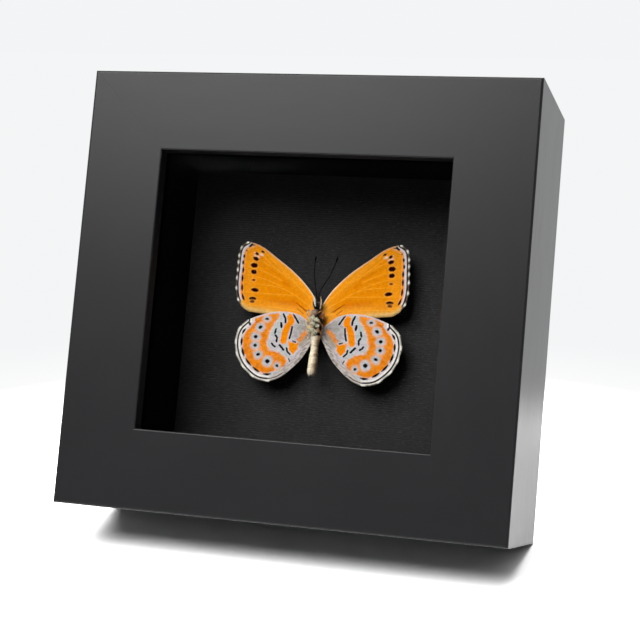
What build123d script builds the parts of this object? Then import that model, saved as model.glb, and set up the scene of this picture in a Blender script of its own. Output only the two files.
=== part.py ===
from build123d import *
from math import cos, radians, sin
import os

os.makedirs("parts", exist_ok=True)

# Butterfly display case: a mitred black wooden box frame with a glazed window, a lined
# cavity with a butterfly set in it, and an easel back. It is drawn as it stands, leaning
# back on its rounded rear bottom edge with the strut open against its stop.
# +Z is up, the window faces -Y and the origin is the middle of the footprint on the floor.
# All sizes are in millimetres and degrees.

# How it stands
lean = 17.5
strut_spread = 32.0  # angle between the back and the open strut

# Box frame
case_width = 115.0
case_height = 111.0
case_depth = 46.0
rail_width = 20.2  # seen from the front
rebate_width = 5.0  # step behind the lip
lip_thickness = 4.0  # wood in front of the glazing
rear_round = 2.0
front_round = 0.6
window_round = 0.4

# V-nails that join the mitres
v_nail_inset = 10.0  # from both outer faces to the bend
v_nail_leg = 5.0
v_nail_steel = 0.5
v_nail_depth = 8.0
v_nail_half_angle = 33.0

# Sheets and strips inside the rebate
cavity_depth = 28.0  # front face to backing paper
glazing_thickness = 2.0
glazing_play = 0.5  # each side
liner_play = 0.2
panel_thickness = 3.0
panel_play = 0.3
paper_thickness = 0.3

# Turn buttons and their screws
button_inset = 4.5  # rebate edge to pivot
button_spacing = 52.0
button_reach = 10.0  # pivot to the centre of the tip
button_heel_radius = 3.4
button_tip_radius = 2.2
button_thickness = 1.0
button_gap = 0.05  # between button and wood, and between button and screw head
button_edge = 0.25
screw_radius = 1.2
screw_play = 0.06
screw_depth = 8.0  # in the wood
screw_head_radius = 2.4
screw_head_height = 1.3
screw_head_round = 0.7
recess_length = 2.6
recess_width = 0.55
recess_depth = 0.7

# Easel hinge
hinge_inset = 16.3  # top of the rebate to the hinge axis
hinge_steel = 0.8
knuckle_radius = 1.8
knuckle_gap = 0.3  # knuckle to panel
pin_radius = 0.9
pin_play = 0.05
pin_head_radius = 1.4
pin_head_height = 0.5
leaf_knuckle_length = 9.0
base_knuckle_length = 5.0
knuckle_end_play = 0.2
base_leaf_height = 14.0
strut_leaf_height = 15.0
leaf_shoulder = 2.4  # clearance of the wide part of either leaf from the axis
leaf_corner = 2.0
stop_length = 5.0  # from the axis
stop_thickness = 1.0
stop_gap = 0.05
rivet_radius = 1.0
rivet_head_radius = 1.9
rivet_head_height = 0.6
rivet_head_round = 0.45
rivet_spacing = 12.0
rivet_height = 9.5  # from the axis, on both leaves

# Easel strut
strut_thickness = 3.0
strut_top_gap = 3.0  # below the hinge axis
strut_top_width = 26.0
strut_taper = 7.0  # on each side, over the strut's drop
strut_drop = 90.0
strut_corner = 4.0

# Sawtooth hanger
hanger_length = 42.0
hanger_width = 8.0
hanger_steel = 0.8
hanger_inset = 9.5  # top of the case to the middle of the hanger
hanger_standoff = 1.8
hanger_lug = 6.0
hanger_ramp = 3.0
tooth_count = 9
tooth_pitch = 2.4
tooth_depth = 1.3
nail_radius = 0.6
nail_depth = 7.0
nail_head_radius = 1.5
nail_head_height = 0.5

# Butterfly, from the middle of the window
specimen_x = 1.25
specimen_y = -2.55
specimen_turn = 1.4
block_height = 4.7  # foam block between paper and wings
block_width = 3.6
block_length = 6.0
wing_thickness = 0.3
wing_gap = 0.05  # forewing to hindwing
body_rise = 1.4  # body axis above the wings' back
body_shift = -0.5
neck = 1.9
waist = -4.8
head_length = 3.2
head_radius = 1.05
neck_radius = 0.6
thorax_radius = 1.75
thorax_fullest = -1.2
waist_radius = 1.0
abdomen_radius = 1.18
abdomen_fullest = -12.5
abdomen_tip = -15.1
antenna_radius = 0.13
club_radius = 0.26
club_length = 1.3
leg_radius = 0.14
leg_bend = 0.35

# Wing outlines, out and up from the middle of the body
forewing_costa = [(0.4, 2.9), (1.7, 5.2), (4.9, 9.1), (8.6, 12.4), (12.5, 15.2), (18.0, 18.6), (20.6, 19.2)]
forewing_margin = [(20.6, 19.2), (22.1, 18.2), (22.9, 15.8), (23.1, 12.0), (22.9, 5.2), (21.9, 2.8),
                   (19.2, 0.8)]
forewing_inner = [(19.2, 0.8), (14.5, 0.35), (8.0, -0.4), (3.0, -2.2), (0.4, -3.4)]
hindwing_costa = [(0.4, -3.0), (2.5, -1.6), (4.6, 0.0), (7.2, 0.9), (10.0, 1.1), (14.5, 0.35), (19.4, -1.5)]
hindwing_margin = [(19.4, -1.5), (21.3, -3.5), (22.2, -6.5), (21.9, -9.5), (20.6, -12.6), (18.1, -15.3),
                   (15.2, -16.95), (12.4, -17.2)]
hindwing_inner = [(12.4, -17.2), (9.7, -16.2), (7.0, -14.1), (4.3, -11.3), (2.4, -8.3), (0.5, -4.8)]

# Antennae, from the front of the head
antenna_paths = [
    [(-0.35, 0.1), (-1.15, 5.4), (-1.0, 9.3)],
    [(0.35, 0.1), (2.45, 4.6), (4.35, 9.3)],
]

# Legs, out and back from the neck
leg_paths = [
    [(0.5, -1.3), (2.0, -0.5), (2.4, -2.9)],
    [(0.6, -3.1), (2.2, -3.9), (2.3, -6.1)],
    [(0.5, -4.8), (1.9, -5.8), (1.7, -8.1)],
]
leg_rise = 1.25  # above the body axis

# Worked out from the sizes above
window_width = case_width - 2 * rail_width
window_height = case_height - 2 * rail_width
rebate_opening_width = window_width + 2 * rebate_width
rebate_opening_height = window_height + 2 * rebate_width
lip_back = case_depth - lip_thickness
paper_front = case_depth - cavity_depth
paper_back = paper_front - paper_thickness
panel_width = rebate_opening_width - 2 * panel_play
panel_height = rebate_opening_height - 2 * panel_play
hinge_height = rebate_opening_height / 2 - hinge_inset  # above the middle of the case
hinge_standoff = knuckle_radius + knuckle_gap
hinge_half_width = leaf_knuckle_length / 2 + knuckle_end_play + base_knuckle_length

# Where the case stands: its rounded rear bottom edge and the strut's foot are on the floor
lean_sin = sin(radians(lean))
lean_cos = cos(radians(lean))
strut_sin = sin(radians(strut_spread - lean))
strut_cos = cos(radians(strut_spread - lean))
sunk_corner = rear_round * (lean_sin + lean_cos - 1)
hinge_reach = case_height / 2 + hinge_height
axis_y = hinge_reach * lean_sin + hinge_standoff * lean_cos
axis_z = hinge_reach * lean_cos - hinge_standoff * lean_sin - sunk_corner
strut_back = knuckle_radius + strut_thickness
foot_run = (axis_z + strut_back * strut_sin) / strut_cos
foot_y = axis_y + strut_back * strut_cos + foot_run * strut_sin
toe_y = front_round * (lean_sin - 1) - (case_depth - front_round) * lean_cos
middle_y = (foot_y + toe_y) / 2

back_plane = Plane(
    origin=(0, case_height / 2 * lean_sin - middle_y, case_height / 2 * lean_cos - sunk_corner),
    x_dir=(1, 0, 0),
    z_dir=(0, -lean_cos, lean_sin),
)
forward = Axis((0, 0, 0), back_plane.z_dir)
upward = Axis((0, 0, 0), back_plane.y_dir)


def layer(height, turn=0):
    """The plane at a height in front of the case's back, turned about the middle of the case."""
    return back_plane.moved(Location((0, 0, height), (0, 0, turn)))


def slice_through(x, y, height):
    """The plane square to the case's width through a point of it, with x up the case."""
    return Plane(back_plane.from_local_coords((x, y, height)), x_dir=back_plane.y_dir, z_dir=(1, 0, 0))


def mitred_bar(plane, length, reach, width):
    """The face of a bar with mitred ends, from its outer edge at reach inwards."""
    inner = length / 2 - width
    with BuildSketch(plane) as bar:
        with BuildLine():
            Polyline(
                (-length / 2, reach),
                (length / 2, reach),
                (inner, reach - width),
                (-inner, reach - width),
                close=True,
            )
        make_face()
    return bar.sketch


def v_nails(plane, corners):
    """The faces of V-nails that straddle the mitres at the given outer corners."""
    near = v_nail_leg * cos(radians(45 + v_nail_half_angle))
    far = v_nail_leg * sin(radians(45 + v_nail_half_angle))
    with BuildSketch(plane) as nails:
        for corner_x, corner_y in corners:
            side_x = 1 if corner_x > 0 else -1
            side_y = 1 if corner_y > 0 else -1
            bend_x = corner_x - side_x * v_nail_inset
            bend_y = corner_y - side_y * v_nail_inset
            with BuildLine():
                Polyline(
                    (bend_x + side_x * far, bend_y + side_y * near),
                    (bend_x, bend_y),
                    (bend_x + side_x * near, bend_y + side_y * far),
                )
            trace(line_width=v_nail_steel)
    return nails.sketch


def circles(plane, spots, radius):
    """One circle at each spot."""
    with BuildSketch(plane) as rounds:
        with Locations(*spots):
            Circle(radius)
    return rounds.sketch


button_x = rebate_opening_width / 2 + button_inset
button_spots = [(side * button_x, level * button_spacing / 2) for side in (-1, 1) for level in (-1, 1)]
nail_x = (hanger_length - hanger_lug) / 2
hanger_y = case_height / 2 - hanger_inset
nail_spots = [(-nail_x, hanger_y), (nail_x, hanger_y)]

# Box frame: four mitred rails
rail_layout = [
    ("top_rail", 0, case_width, case_height / 2),
    ("left_rail", 90, case_height, case_width / 2),
    ("bottom_rail", 180, case_width, case_height / 2),
    ("right_rail", 270, case_height, case_width / 2),
]
for name, turn, length, reach in rail_layout:
    rear = layer(0, turn)
    along = Axis((0, 0, 0), rear.x_dir)
    outward = Axis((0, 0, 0), rear.y_dir)
    with BuildPart() as rail:
        extrude(mitred_bar(rear, length, reach, rail_width - rebate_width), amount=lip_back)
        extrude(mitred_bar(layer(lip_back, turn), length, reach, rail_width), amount=lip_thickness)
        outer_edges = rail.edges().filter_by(along).group_by(outward)[-1].sort_by(forward)
        fillet(outer_edges[0], radius=rear_round)
        outer_edges = rail.edges().filter_by(along).group_by(outward)[-1].sort_by(forward)
        fillet(outer_edges[-1], radius=front_round)
        window_edges = rail.edges().filter_by(along).group_by(outward)[0].sort_by(forward)
        fillet(window_edges[-1], radius=window_round)
        rail_corners = [(-length / 2, reach), (length / 2, reach)]
        extrude(v_nails(rear, rail_corners), amount=v_nail_depth, mode=Mode.SUBTRACT)
        extrude(circles(layer(0), button_spots, screw_radius), amount=screw_depth, mode=Mode.SUBTRACT)
        extrude(circles(layer(0), nail_spots, nail_radius), amount=nail_depth, mode=Mode.SUBTRACT)
    rail.part.label = name
    export_step(rail.part, f"parts/{name}.step")

case_corners = [(x * case_width / 2, y * case_height / 2) for x in (-1, 1) for y in (-1, 1)]
with BuildPart() as corner_v_nails:
    extrude(v_nails(layer(0), case_corners), amount=v_nail_depth)
corner_v_nails.part.label = "corner_v_nails"
export_step(corner_v_nails.part, "parts/corner_v_nails.step")

# Glazing, liners and backing
with BuildPart() as glazing:
    with BuildSketch(layer(lip_back)):
        Rectangle(rebate_opening_width - 2 * glazing_play, rebate_opening_height - 2 * glazing_play)
    extrude(amount=-glazing_thickness)
glazing.part.label = "glazing"
export_step(glazing.part, "parts/glazing.step")

liner_thickness = rebate_width - liner_play
liner_depth = lip_back - glazing_thickness - paper_front
liner_x = (window_width + liner_thickness) / 2
liner_y = (window_height + liner_thickness) / 2
liner_layout = [
    ("liner_top", 0, liner_y, window_width, liner_thickness),
    ("liner_bottom", 0, -liner_y, window_width, liner_thickness),
    ("liner_left", -liner_x, 0, liner_thickness, window_height + 2 * liner_thickness),
    ("liner_right", liner_x, 0, liner_thickness, window_height + 2 * liner_thickness),
]
for name, x, y, width, height in liner_layout:
    with BuildPart() as liner:
        with BuildSketch(layer(paper_front)):
            with Locations((x, y)):
                Rectangle(width, height)
        extrude(amount=liner_depth)
    liner.part.label = name
    export_step(liner.part, f"parts/{name}.step")

with BuildPart() as backing_paper:
    with BuildSketch(layer(paper_back)):
        Rectangle(panel_width, panel_height)
    extrude(amount=paper_thickness)
backing_paper.part.label = "backing_paper"
export_step(backing_paper.part, "parts/backing_paper.step")

with BuildPart() as backing_board:
    with BuildSketch(layer(panel_thickness)):
        Rectangle(panel_width, panel_height)
    extrude(amount=paper_back - panel_thickness)
backing_board.part.label = "backing_board"
export_step(backing_board.part, "parts/backing_board.step")

# Rear panel, held by four turn buttons on screws
panel_rivet_spots = [(x * rivet_spacing / 2, hinge_height + rivet_height) for x in (-1, 1)]
with BuildPart() as rear_panel:
    with BuildSketch(layer(0)):
        Rectangle(panel_width, panel_height)
    extrude(amount=panel_thickness)
    extrude(circles(layer(0), panel_rivet_spots, rivet_radius), amount=panel_thickness, mode=Mode.SUBTRACT)
rear_panel.part.label = "rear_panel"
export_step(rear_panel.part, "parts/rear_panel.step")

button_names = [
    ("turn_button_lower_left", -1),
    ("turn_button_upper_left", -1),
    ("turn_button_lower_right", 1),
    ("turn_button_upper_right", 1),
]
for (name, side), (x, y) in zip(button_names, button_spots):
    with BuildPart() as turn_button:
        with BuildSketch(layer(-button_gap)):
            with Locations((x, y)):
                Circle(button_heel_radius)
            with Locations((x - side * button_reach, y)):
                Circle(button_tip_radius)
            make_hull()
            with Locations((x, y)):
                Circle(screw_radius + screw_play, mode=Mode.SUBTRACT)
        extrude(amount=-button_thickness)
        chamfer(turn_button.edges().group_by(forward)[0], length=button_edge)
    turn_button.part.label = name
    export_step(turn_button.part, f"parts/{name}.step")

screw_seat = 2 * button_gap + button_thickness
with BuildPart() as turn_button_screws:
    extrude(circles(layer(-screw_seat), button_spots, screw_head_radius), amount=-screw_head_height)
    fillet(turn_button_screws.edges().group_by(forward)[0], radius=screw_head_round)
    with BuildSketch(layer(-screw_seat - screw_head_height)):
        with Locations(*button_spots):
            Rectangle(recess_length, recess_width)
            Rectangle(recess_width, recess_length)
    extrude(amount=recess_depth, mode=Mode.SUBTRACT)
    extrude(circles(layer(-screw_seat), button_spots, screw_radius), amount=screw_seat + screw_depth)
turn_button_screws.part.label = "turn_button_screws"
export_step(turn_button_screws.part, "parts/turn_button_screws.step")

# Easel hinge: the base leaf is riveted to the panel, the strut leaf swings on the pin
with BuildPart() as hinge_base_leaf:
    with BuildSketch(layer(0)):
        with Locations((0, hinge_height)):
            Rectangle(2 * hinge_half_width, base_leaf_height, align=(Align.CENTER, Align.MIN))
            Rectangle(
                leaf_knuckle_length + 2 * knuckle_end_play,
                leaf_shoulder,
                align=(Align.CENTER, Align.MIN),
                mode=Mode.SUBTRACT,
            )
    extrude(amount=-hinge_steel)
    fillet(hinge_base_leaf.edges().filter_by(forward).group_by(upward)[-1], radius=leaf_corner)
    for start in (-hinge_half_width, hinge_half_width - base_knuckle_length):
        with BuildSketch(slice_through(start, hinge_height, -hinge_standoff)):
            Circle(knuckle_radius)
            Rectangle(knuckle_radius, hinge_standoff, align=(Align.MIN, Align.MIN))
        extrude(amount=base_knuckle_length)
    with BuildSketch(slice_through(-hinge_half_width, hinge_height, -hinge_standoff)):
        Circle(pin_radius)
    extrude(amount=2 * hinge_half_width, mode=Mode.SUBTRACT)
    extrude(circles(layer(0), panel_rivet_spots, rivet_radius), amount=-hinge_steel, mode=Mode.SUBTRACT)
hinge_base_leaf.part.label = "hinge_base_leaf"
export_step(hinge_base_leaf.part, "parts/hinge_base_leaf.step")

with BuildPart() as panel_rivets:
    extrude(circles(layer(-hinge_steel), panel_rivet_spots, rivet_head_radius), amount=-rivet_head_height)
    fillet(panel_rivets.edges().group_by(forward)[0], radius=rivet_head_round)
    shanks = circles(layer(-hinge_steel), panel_rivet_spots, rivet_radius)
    extrude(shanks, amount=hinge_steel + panel_thickness)
panel_rivets.part.label = "panel_rivets"
export_step(panel_rivets.part, "parts/panel_rivets.step")

with BuildPart() as hinge_pin:
    with BuildSketch(slice_through(-hinge_half_width, hinge_height, -hinge_standoff)):
        Circle(pin_radius)
    extrude(amount=2 * hinge_half_width)
    with BuildSketch(slice_through(-hinge_half_width, hinge_height, -hinge_standoff)):
        Circle(pin_head_radius)
    extrude(amount=-pin_head_height)
    with BuildSketch(slice_through(hinge_half_width, hinge_height, -hinge_standoff)):
        Circle(pin_head_radius)
    extrude(amount=pin_head_height)
hinge_pin.part.label = "hinge_pin"
export_step(hinge_pin.part, "parts/hinge_pin.step")

# The strut's own plane: through the hinge axis, with y up along the strut and z to the panel
strut_plane = back_plane.moved(Location((0, hinge_height, -hinge_standoff), (strut_spread, 0, 0)))
strut_out = Axis((0, 0, 0), -strut_plane.z_dir)
strut_up = Axis((0, 0, 0), strut_plane.y_dir)
leaf_face = strut_plane.offset(hinge_steel - knuckle_radius)
strut_face = strut_plane.offset(-knuckle_radius)
strut_rivet_spots = [(x * rivet_spacing / 2, -rivet_height) for x in (-1, 1)]

with BuildPart() as hinge_strut_leaf:
    with BuildSketch(slice_through(-leaf_knuckle_length / 2, hinge_height, -hinge_standoff)):
        Circle(knuckle_radius)
        with Locations((0, hinge_standoff - hinge_steel - stop_gap)):
            Rectangle(stop_length, stop_thickness, align=(Align.MIN, Align.MAX))
    extrude(amount=leaf_knuckle_length)
    with BuildSketch(leaf_face):
        Rectangle(leaf_knuckle_length, leaf_shoulder, align=(Align.CENTER, Align.MAX))
        with Locations((0, -leaf_shoulder)):
            Rectangle(
                2 * hinge_half_width,
                strut_leaf_height - leaf_shoulder,
                align=(Align.CENTER, Align.MAX),
            )
    extrude(amount=-hinge_steel)
    fillet(hinge_strut_leaf.edges().filter_by(strut_out).group_by(strut_up)[0], radius=leaf_corner)
    with BuildSketch(slice_through(-leaf_knuckle_length / 2, hinge_height, -hinge_standoff)):
        Circle(pin_radius + pin_play)
    extrude(amount=leaf_knuckle_length, mode=Mode.SUBTRACT)
    extrude(circles(leaf_face, strut_rivet_spots, rivet_radius), amount=-hinge_steel, mode=Mode.SUBTRACT)
hinge_strut_leaf.part.label = "hinge_strut_leaf"
export_step(hinge_strut_leaf.part, "parts/hinge_strut_leaf.step")

with BuildPart() as easel_strut:
    with BuildSketch(strut_face):
        with BuildLine():
            Polyline(
                (-strut_top_width / 2, -strut_top_gap),
                (strut_top_width / 2, -strut_top_gap),
                (strut_top_width / 2 + strut_taper, -strut_top_gap - strut_drop),
                (-strut_top_width / 2 - strut_taper, -strut_top_gap - strut_drop),
                close=True,
            )
        make_face()
    extrude(amount=-strut_thickness)
    fillet(easel_strut.edges().filter_by(strut_out).group_by(strut_up)[-1], radius=strut_corner)
    split(bisect_by=Plane.XY, keep=Keep.TOP)
    holes = circles(strut_face, strut_rivet_spots, rivet_radius)
    extrude(holes, amount=-strut_thickness, mode=Mode.SUBTRACT)
easel_strut.part.label = "easel_strut"
export_step(easel_strut.part, "parts/easel_strut.step")

with BuildPart() as strut_rivets:
    extrude(circles(leaf_face, strut_rivet_spots, rivet_head_radius), amount=rivet_head_height)
    fillet(strut_rivets.edges().group_by(strut_out)[0], radius=rivet_head_round)
    extrude(circles(leaf_face, strut_rivet_spots, rivet_radius), amount=-hinge_steel - strut_thickness)
strut_rivets.part.label = "strut_rivets"
export_step(strut_rivets.part, "parts/strut_rivets.step")

# Sawtooth hanger on the top rail
hanger_bottom = hanger_y - hanger_width / 2
hanger_plane = Plane(
    back_plane.from_local_coords((0, hanger_bottom, 0)), x_dir=(1, 0, 0), z_dir=back_plane.y_dir
)
half_hanger = hanger_length / 2
raised_line = hanger_standoff + hanger_steel / 2
tooth_start = -tooth_count * tooth_pitch / 2
with BuildPart() as sawtooth_hanger:
    with BuildSketch(hanger_plane):
        with BuildLine():
            Polyline(
                (-half_hanger, hanger_steel / 2),
                (-half_hanger + hanger_lug, hanger_steel / 2),
                (-half_hanger + hanger_lug + hanger_ramp, raised_line),
                (half_hanger - hanger_lug - hanger_ramp, raised_line),
                (half_hanger - hanger_lug, hanger_steel / 2),
                (half_hanger, hanger_steel / 2),
            )
        trace(line_width=hanger_steel)
    extrude(amount=hanger_width)
    with BuildSketch(layer(-hanger_standoff)):
        for index in range(tooth_count):
            left = tooth_start + index * tooth_pitch
            with BuildLine():
                Polyline(
                    (left, hanger_bottom),
                    (left + tooth_pitch / 2, hanger_bottom + tooth_depth),
                    (left + tooth_pitch, hanger_bottom),
                    close=True,
                )
            make_face()
    extrude(amount=-hanger_steel, mode=Mode.SUBTRACT)
    extrude(circles(layer(0), nail_spots, nail_radius), amount=-hanger_steel, mode=Mode.SUBTRACT)
sawtooth_hanger.part.label = "sawtooth_hanger"
export_step(sawtooth_hanger.part, "parts/sawtooth_hanger.step")

with BuildPart() as hanger_nails:
    extrude(circles(layer(-hanger_steel), nail_spots, nail_head_radius), amount=-nail_head_height)
    extrude(circles(layer(-hanger_steel), nail_spots, nail_radius), amount=hanger_steel + nail_depth)
hanger_nails.part.label = "hanger_nails"
export_step(hanger_nails.part, "parts/hanger_nails.step")

# Butterfly, set with its underside to the window
wing_back = paper_front + block_height
specimen_plane = back_plane.moved(Location((specimen_x, specimen_y, wing_back), (0, 0, specimen_turn)))
body_plane = specimen_plane.moved(Location((body_shift, 0, body_rise)))
body_axis = Axis(body_plane.origin, body_plane.y_dir)

with BuildPart() as thorax:
    with BuildSketch(body_plane):
        with BuildLine():
            Spline((neck_radius, neck), (thorax_radius, thorax_fullest), (waist_radius, waist))
            Polyline((waist_radius, waist), (0, waist), (0, neck), (neck_radius, neck))
        make_face()
    revolve(axis=body_axis)
thorax.part.label = "thorax"
export_step(thorax.part, "parts/thorax.step")

with BuildPart() as head:
    with BuildSketch(body_plane):
        with BuildLine():
            Spline(
                (neck_radius, neck),
                (head_radius, neck + head_length / 2),
                (0, neck + head_length),
                tangents=[(1, 1), (-1, 0)],
            )
            Polyline((0, neck + head_length), (0, neck), (neck_radius, neck))
        make_face()
    revolve(axis=body_axis)
head.part.label = "head"
export_step(head.part, "parts/head.step")

with BuildPart() as abdomen:
    with BuildSketch(body_plane):
        with BuildLine():
            Spline(
                (waist_radius, waist),
                (abdomen_radius, abdomen_fullest),
                (0, abdomen_tip),
                tangents=[(0, -1), (-1, 0)],
            )
            Polyline((0, abdomen_tip), (0, waist), (waist_radius, waist))
        make_face()
    revolve(axis=body_axis)
abdomen.part.label = "abdomen"
export_step(abdomen.part, "parts/abdomen.step")

with BuildPart() as specimen_block:
    with BuildSketch(specimen_plane.offset(-block_height)):
        with Locations((body_shift, (neck + waist) / 2)):
            Rectangle(block_width, block_length)
    extrude(amount=block_height)
    add(thorax.part, mode=Mode.SUBTRACT)
specimen_block.part.label = "specimen_block"
export_step(specimen_block.part, "parts/specimen_block.step")

wing_layout = [
    ("forewing", 0, forewing_costa, forewing_margin, forewing_inner),
    ("hindwing", wing_thickness + wing_gap, hindwing_costa, hindwing_margin, hindwing_inner),
]
for wing_name, rise, costa, margin, inner in wing_layout:
    for side_name, side in (("left", -1), ("right", 1)):
        with BuildPart() as wing:
            with BuildSketch(specimen_plane.offset(rise)):
                with BuildLine():
                    for edge in (costa, margin, inner):
                        Spline(*[(side * x, y) for x, y in edge])
                    Line((side * inner[-1][0], inner[-1][1]), (side * costa[0][0], costa[0][1]))
                make_face()
            extrude(amount=wing_thickness)
            for body_piece in (head, thorax, abdomen):
                add(body_piece.part, mode=Mode.SUBTRACT)
        wing.part.label = f"{wing_name}_{side_name}"
        export_step(wing.part, f"parts/{wing_name}_{side_name}.step")

with BuildPart() as antennae:
    for path in antenna_paths:
        with BuildLine(body_plane.moved(Location((0, neck + head_length, 0)))) as stem:
            ThreePointArc(*path)
        with BuildSketch(Plane(origin=stem.line @ 0, z_dir=stem.line % 0)):
            Circle(antenna_radius)
        sweep(path=stem.line)
        with BuildSketch(Plane(origin=stem.line @ 1, z_dir=stem.line % 1)):
            Circle(club_radius)
        extrude(amount=club_length)
antennae.part.label = "antennae"
export_step(antennae.part, "parts/antennae.step")

with BuildPart() as legs:
    for side in (-1, 1):
        for path in leg_paths:
            with BuildLine(body_plane.moved(Location((0, neck, leg_rise)))) as bone:
                FilletPolyline(*[(side * x, y) for x, y in path], radius=leg_bend)
            with BuildSketch(Plane(origin=bone.line @ 0, z_dir=bone.line % 0)):
                Circle(leg_radius)
            sweep(path=bone.line)
    add(thorax.part, mode=Mode.SUBTRACT)
legs.part.label = "legs"
export_step(legs.part, "parts/legs.step")
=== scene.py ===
from math import cos, pi, radians, sin

import bpy
import numpy as np
from mathutils import Matrix, Vector, noise


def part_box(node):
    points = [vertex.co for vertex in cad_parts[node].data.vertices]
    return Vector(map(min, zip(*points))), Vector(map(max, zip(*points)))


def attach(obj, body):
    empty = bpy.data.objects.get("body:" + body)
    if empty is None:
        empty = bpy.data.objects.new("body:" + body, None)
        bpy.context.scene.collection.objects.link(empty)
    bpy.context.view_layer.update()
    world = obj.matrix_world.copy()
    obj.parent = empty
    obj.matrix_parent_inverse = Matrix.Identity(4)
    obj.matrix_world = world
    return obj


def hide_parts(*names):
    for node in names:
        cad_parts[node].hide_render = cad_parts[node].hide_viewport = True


# A small black box frame with a spread butterfly behind its window, leaning back on its easel strut.
# The butterfly is modelled here in millimetres, in its own plane over the backing paper.

MM = 0.001
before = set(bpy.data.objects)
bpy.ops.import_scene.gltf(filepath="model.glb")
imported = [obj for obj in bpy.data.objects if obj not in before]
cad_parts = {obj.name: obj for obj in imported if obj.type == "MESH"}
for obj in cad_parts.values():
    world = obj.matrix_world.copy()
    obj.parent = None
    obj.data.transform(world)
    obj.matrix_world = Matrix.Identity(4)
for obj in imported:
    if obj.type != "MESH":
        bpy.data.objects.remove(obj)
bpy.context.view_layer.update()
rng = np.random.default_rng(7)


# -------- places, from the frame

def middle(node):
    low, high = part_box(node)
    return (low + high) / 2


paper_thickness = 0.3
window_half = (37.3, 35.3)
case_half = (57.5, 55.5)
front_height = 28.0  # from the backing paper to the front face

forward = (middle("glazing") - middle("backing_paper")).normalized()
right = Vector((1, 0, 0))
up = forward.cross(right)
case_origin = middle("backing_paper") + forward * (paper_thickness / 2 * MM)
lean = np.degrees(np.arcsin(up.y))

# The butterfly, with its underside to the window, over the middle of the backing paper
butterfly_spot, butterfly_turn = Vector((1.25, -2.55, 4.7)), radians(1.4)
axes = Matrix((right, up, forward)).transposed()
turned = (axes @ Matrix.Rotation(butterfly_turn, 3, "Z")).to_4x4()
specimen_place = Matrix.Translation(case_origin + axes @ butterfly_spot * MM) @ turned @ Matrix.Scale(MM, 4)
body_shift, body_rise = -0.5, 1.4
neck, waist, head_front, abdomen_tip = 1.9, -4.8, 5.1, -15.1


# -------- node helpers

def srgb(red, green, blue):
    """Linear colour from 0-255 screen values."""
    return np.array([c / 255 / 12.92 if c < 10.3 else ((c / 255 + 0.055) / 1.055) ** 2.4
                     for c in (red, green, blue)])


class Value:
    """A shader node's output. Arithmetic with it makes Math nodes in its own tree."""

    def __init__(self, socket):
        self.socket, self.tree = socket, socket.id_data

    def math(self, operation, other=0.0):
        return output(self.tree, "Math", 0, {0: self, 1: other}, operation=operation)

    def __add__(self, other):
        return self.math("ADD", other)

    def __sub__(self, other):
        return self.math("SUBTRACT", other)

    def __mul__(self, other):
        return self.math("MULTIPLY", other)

    def __abs__(self):
        return self.math("ABSOLUTE")


def node(tree, kind, inputs=(), **settings):
    """A shader node with its settings made, and its inputs set or linked."""
    made = tree.nodes.new("ShaderNode" + kind)
    for key, value in settings.items():
        setattr(made, key, value)
    for key, value in dict(inputs).items():
        if isinstance(value, Value):
            tree.links.new(value.socket, made.inputs[key])
        else:
            made.inputs[key].default_value = value
    return made


def output(tree, kind, name, inputs=(), **settings):
    """One output of a new shader node."""
    return Value(node(tree, kind, inputs, **settings).outputs[name])


def larger(first, second):
    return first.math("MAXIMUM", second)


def ramp(value, low, high, start=0.0, end=1.0):
    """start below low, end above high, and smooth between."""
    inputs = {"Value": value, "From Min": low, "From Max": high, "To Min": start, "To Max": end}
    return output(value.tree, "MapRange", "Result", inputs, interpolation_type="SMOOTHSTEP")


def blend(share, first, second):
    """The colour first, turning into second with share."""
    first, second = (value if isinstance(value, Value) else (*value, 1) for value in (first, second))
    return output(share.tree, "Mix", 2, {0: share, 6: first, 7: second}, data_type="RGBA")


def scaled(vector, *sizes):
    return output(vector.tree, "Mapping", "Vector", {"Vector": vector, "Scale": sizes})


def grain(vector, scale, detail=3.0, distortion=0.0):
    inputs = {"Vector": vector, "Scale": scale, "Detail": detail, "Distortion": distortion}
    return output(vector.tree, "TexNoise", "Fac", inputs)


def waves(vector, scale, distortion, direction):
    inputs = {"Vector": vector, "Scale": scale, "Distortion": distortion}
    return output(vector.tree, "TexWave", "Fac", inputs, bands_direction=direction)


def cells(vector, scale):
    return output(vector.tree, "TexVoronoi", "Distance", {"Vector": vector, "Scale": scale})


def case_place(tree):
    """Coordinates in the leaning case's own axes, from the middle of its backing paper."""
    tilt = -radians(90 - lean)
    offset = -(Matrix.Rotation(tilt, 3, "X") @ case_origin) / MM
    place = output(tree, "TexCoord", "Object")
    inputs = {"Vector": place, "Scale": (1 / MM,) * 3, "Rotation": (tilt, 0, 0), "Location": offset}
    return output(tree, "Mapping", "Vector", inputs)


def principled(made, key):
    return made.node_tree.nodes["Principled BSDF"].inputs[key.replace("_", " ")]


def material(name, **plain):
    """A material with one Principled shader, whose plain sockets are set here."""
    made = bpy.data.materials.new(name)
    made.use_nodes = True
    for key, value in plain.items():
        principled(made, key).default_value = value
    return made, made.node_tree


def finished(made, base, relief, depth, strength, **links):
    """A material whose colour, relief and any other linked sockets are fed by nodes."""
    inputs = {"Height": relief, "Distance": depth * MM, "Strength": strength}
    links.update(Base_Color=base, Normal=output(relief.tree, "Bump", "Normal", inputs))
    for key, value in links.items():
        made.node_tree.links.new(value.socket, principled(made, key))
    return made


def mixed(made, share, first, second):
    """A material with a mix of two other shaders in place of its Principled one."""
    tree = made.node_tree
    tree.nodes.remove(tree.nodes["Principled BSDF"])
    surface = output(tree, "MixShader", 0, {0: share, 1: first, 2: second})
    tree.links.new(surface.socket, tree.nodes["Material Output"].inputs["Surface"])
    return made


# -------- materials of the case

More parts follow.
